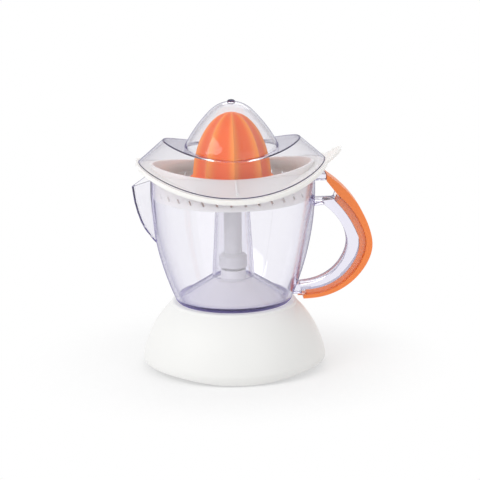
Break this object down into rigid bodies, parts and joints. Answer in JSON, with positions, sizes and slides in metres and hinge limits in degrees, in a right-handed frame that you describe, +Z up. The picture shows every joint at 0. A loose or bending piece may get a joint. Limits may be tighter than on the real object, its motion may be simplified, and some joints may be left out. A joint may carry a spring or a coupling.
{
  "type": "citrus press juicer",
  "caption": "Electric citrus press: white motor base, clear jug with spout and orange grip, white strainer bowl, ribbed orange cone that turns when pressed, clear domed lid.",
  "frame": {"origin": "on the cone's turning axis, at the level of the table under the rubber foot", "axes": "+Z up along the turning axis, +X towards the jug's handle, -X towards the spout, -Y towards the front of the base"},
  "size_m": [0.2096, 0.1622, 0.2373],
  "materials": {
    "white_housing": "smooth, softly glossy white",
    "white_bowl": "smooth off-white",
    "clear_plastic": "clear with a faint violet tint",
    "orange_cone": "smooth orange",
    "orange_grip": "soft satin orange",
    "white_nylon": "natural nylon",
    "grey_cover": "fine matte",
    "black_rubber": "matte",
    "steel": "turned steel",
    "lamination": "stacked sheet steel",
    "copper_wire": "lacquered wire",
    "black_plastic": "matte",
    "magnet": "dark ferrite"
  },
  "bodies": {
    "base": {"base_housing": "white_housing", "bottom_cover": "grey_cover", "rubber_foot": "black_rubber", "cover_screws": "steel", "cord_gland": "black_rubber", "gear_chassis": "white_nylon", "chassis_screws": "steel", "idler_axle": "steel", "axle_clip": "steel", "stator_core": "lamination", "coil_bobbins": "black_plastic", "coil_windings": "copper_wire", "motor_bracket": "steel", "motor_screws": "steel", "tower_bush": "white_nylon", "switch_body": "black_plastic"},
    "rotor": {"rotor_shaft": "steel", "rotor_magnet": "magnet", "motor_pinion": "steel"},
    "idler": {"compound_gear": "white_nylon"},
    "main_gear": {"main_gear": "white_nylon", "return_spring": "steel"},
    "spindle": {"spindle": "steel"},
    "plunger": {"switch_plunger": "white_nylon"},
    "jug": {"jug": "clear_plastic", "jug_foot": "clear_plastic", "jug_chimney": "clear_plastic", "jug_spout": "clear_plastic", "handle_frame": "clear_plastic", "handle_grip": "orange_grip"},
    "bowl": {"strainer_bowl": "white_bowl", "bowl_floor": "white_bowl"},
    "turning_bush": {"shaft_bush": "white_nylon"},
    "cone": {"cone": "orange_cone", "drive_shaft": "white_nylon"},
    "lid": {"lid": "clear_plastic"}
  },
  "joints": [
    {"name": "motor_spin", "type": "hinge", "parent": "base", "child": "rotor", "pos_m": [0.02362, 0.02302, 0.02], "axis": [0, 0, 1], "continuous": true},
    {"name": "idler_spin", "type": "hinge", "parent": "base", "child": "idler", "pos_m": [0.032, 0, 0.04], "axis": [0, 0, 1], "continuous": true},
    {"name": "main_gear_spin", "type": "hinge", "parent": "base", "child": "main_gear", "pos_m": [0, 0, 0.045], "axis": [0, 0, 1], "continuous": true},
    {"name": "spindle_press", "type": "slide", "parent": "main_gear", "child": "spindle", "axis": [0, 0, 1], "range_m": [-0.002, 0], "stiffness_N_per_m": 2000, "springref_m": 0.003, "deforming": ["return_spring"]},
    {"name": "plunger_press", "type": "slide", "parent": "base", "child": "plunger", "axis": [0, 0, 1], "range_m": [-0.002, 0]},
    {"name": "jug_lift", "type": "slide", "parent": "base", "child": "jug", "axis": [0, 0, 1], "range_m": [0, 0.06]},
    {"name": "bowl_lift", "type": "slide", "parent": "jug", "child": "bowl", "axis": [0, 0, 1], "range_m": [0, 0.1]},
    {"name": "lid_lift", "type": "slide", "parent": "bowl", "child": "lid", "axis": [0, 0, 1], "range_m": [0, 0.08]},
    {"name": "bush_spin", "type": "hinge", "parent": "bowl", "child": "turning_bush", "pos_m": [0, 0, 0.16], "axis": [0, 0, 1], "continuous": true},
    {"name": "cone_press", "type": "slide", "parent": "turning_bush", "child": "cone", "axis": [0, 0, 1], "range_m": [-0.002, 0]}
  ],
  "couplings": [
    {"joint": "idler_spin", "follows": "motor_spin", "ratio": -0.16667},
    {"joint": "main_gear_spin", "follows": "motor_spin", "ratio": 0.030864},
    {"joint": "bush_spin", "follows": "motor_spin", "ratio": 0.030864},
    {"joint": "plunger_press", "follows": "spindle_press", "ratio": 1},
    {"joint": "cone_press", "follows": "spindle_press", "ratio": 1}
  ]
}
